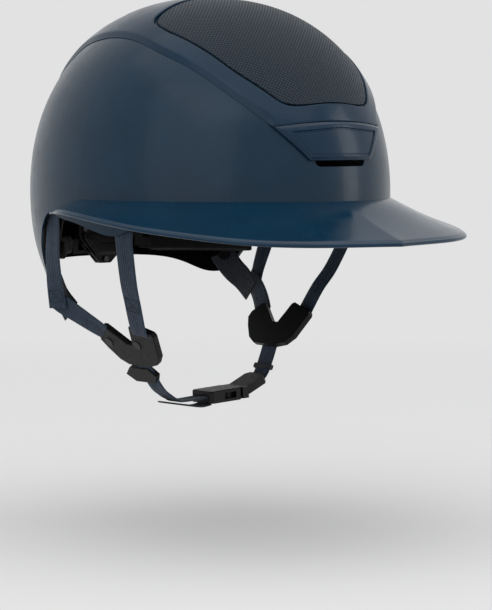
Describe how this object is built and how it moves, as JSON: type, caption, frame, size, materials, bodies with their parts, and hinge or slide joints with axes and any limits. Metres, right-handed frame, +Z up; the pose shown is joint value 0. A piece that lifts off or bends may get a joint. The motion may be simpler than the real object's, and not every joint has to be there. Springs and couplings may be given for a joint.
{
  "type": "riding helmet",
  "caption": "Hard riding helmet with a wide brim, mesh crown vents, a sliding front vent, a webbing harness with a side-release chin buckle and a dial-adjusted rear fit cradle.",
  "frame": {"origin": "centre of the head opening, level with the brim's joint to the shell", "axes": "+Z up, the wearer faces -Y, +X is the wearer's left"},
  "size_m": [0.2708, 0.338, 0.2857],
  "materials": {
    "shell_gloss": "gloss",
    "brim_gloss": "gloss",
    "vent_mesh": "satin",
    "foam": "matte",
    "pad_fabric": "matte",
    "webbing": "satin",
    "neck_webbing": "matte",
    "black_plastic": "matte",
    "elastic": "matte",
    "dark_steel": "satin"
  },
  "bodies": {
    "root": {"outer_shell": "shell_gloss", "crown_panel": "shell_gloss", "brim": "brim_gloss", "front_mesh": "vent_mesh", "rear_mesh": "vent_mesh", "impact_liner": "foam", "crown_pad": "pad_fabric", "brow_pad": "pad_fabric", "rear_pad": "pad_fabric", "strap_anchor_rivets": "dark_steel", "divider_rivets": "black_plastic", "buckle_male": "black_plastic", "strap_keeper": "elastic", "cradle_pivot_pins": "dark_steel", "side_pad_left": "pad_fabric", "lobe_lining_left": "pad_fabric", "front_strap_left": "webbing", "rear_strap_left": "webbing", "rear_link_left": "webbing", "neck_strap_left": "neck_webbing", "strap_divider_left": "black_plastic", "chin_strap_left": "webbing", "side_pad_right": "pad_fabric", "lobe_lining_right": "pad_fabric", "front_strap_right": "webbing", "rear_strap_right": "webbing", "rear_link_right": "webbing", "neck_strap_right": "neck_webbing", "strap_divider_right": "black_plastic", "chin_strap_right": "webbing"},
    "vent_slider": {"front_badge": "shell_gloss"},
    "slider": {"strap_slider": "black_plastic"},
    "buckle_socket": {"buckle_female": "black_plastic", "strap_tail": "neck_webbing"},
    "tab_front": {"buckle_tab_front": "black_plastic"},
    "tab_rear": {"buckle_tab_rear": "black_plastic"},
    "cradle": {"cradle_housing": "black_plastic", "cradle_cover": "black_plastic", "cradle_screws": "dark_steel", "nape_pad": "pad_fabric"},
    "band_left": {"fit_band_left": "black_plastic", "band_pad_left": "pad_fabric"},
    "band_right": {"fit_band_right": "black_plastic", "band_pad_right": "pad_fabric"},
    "dial": {"dial_knob": "black_plastic", "dial_pinion": "black_plastic"}
  },
  "joints": [
    {"name": "vent_slide", "type": "slide", "parent": "root", "child": "vent_slider", "axis": [0, -0.2181, -0.9759], "range_m": [0, 0.0035]},
    {"name": "slider_slide", "type": "slide", "parent": "root", "child": "slider", "axis": [0.5778, 0, -0.8162], "range_m": [-0.003, 0.003]},
    {"name": "buckle_release", "type": "slide", "parent": "root", "child": "buckle_socket", "axis": [-0.9985, 0, -0.0541], "range_m": [0, 0.016]},
    {"name": "tab_front_press", "type": "hinge", "parent": "root", "child": "tab_front", "pos_m": [0.02747, -0.0017, -0.14065], "axis": [-0.0541, 0, 0.9985], "range_deg": [-5, 0], "stiffness_Nm_per_rad": 0.6},
    {"name": "tab_rear_press", "type": "hinge", "parent": "root", "child": "tab_rear", "pos_m": [0.02747, 0.0117, -0.14065], "axis": [-0.0541, 0, 0.9985], "range_deg": [0, 5], "stiffness_Nm_per_rad": 0.6},
    {"name": "cradle_tilt", "type": "hinge", "parent": "root", "child": "cradle", "pos_m": [0, 0.045, 0.003], "axis": [1, 0, 0], "range_deg": [-6, 2]},
    {"name": "dial_turn", "type": "hinge", "parent": "cradle", "child": "dial", "pos_m": [0, 0.1241, -0.038], "axis": [0, 1, 0], "range_deg": [-100, 100]},
    {"name": "band_left_wrap", "type": "hinge", "parent": "cradle", "child": "band_left", "pos_m": [0, 0.0326, -0.038], "axis": [0, 0, 1], "range_deg": [-4.43, 4.43]},
    {"name": "band_right_wrap", "type": "hinge", "parent": "cradle", "child": "band_right", "pos_m": [0, 0.0326, -0.038], "axis": [0, 0, 1], "range_deg": [-4.6, 4.6]}
  ],
  "couplings": [
    {"joint": "dial_turn", "follows": "band_left_wrap", "ratio": -22.525},
    {"joint": "band_right_wrap", "follows": "band_left_wrap", "ratio": -1}
  ]
}
